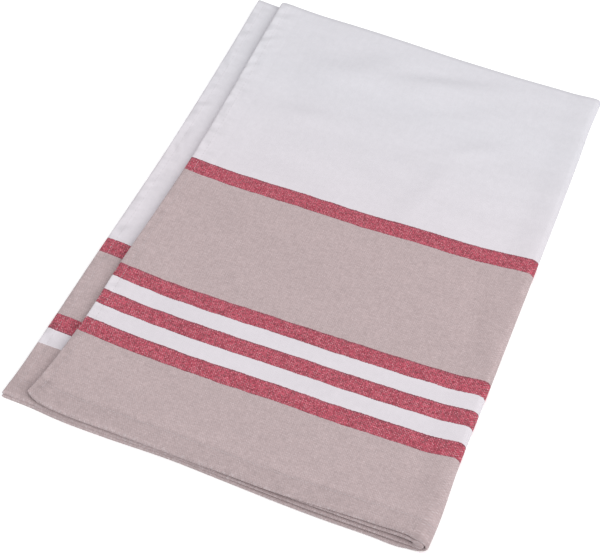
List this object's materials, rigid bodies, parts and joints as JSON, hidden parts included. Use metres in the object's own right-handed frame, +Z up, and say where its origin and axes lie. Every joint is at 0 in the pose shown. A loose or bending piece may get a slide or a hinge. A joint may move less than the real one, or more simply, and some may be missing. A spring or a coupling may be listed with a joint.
{
  "type": "tea towel",
  "caption": "Striped woven cotton tea towel folded in four and lying flat, its hemmed ends a little staggered at the front and a narrow strip of the lower layers showing along the left.",
  "frame": {"origin": "bottom centre of the bounding box, on the surface that the folded towel lies on", "axes": "+X across the folded towel towards its lengthwise fold, +Y from the hemmed ends at the front to the crosswise fold at the back, +Z up"},
  "size_m": [0.2544, 0.3574, 0.0112],
  "materials": {
    "towel_cotton": "matt woven cotton, white and taupe with dark pink stripes"
  },
  "bodies": {
    "root": {"towel": "towel_cotton"}
  },
  "joints": []
}
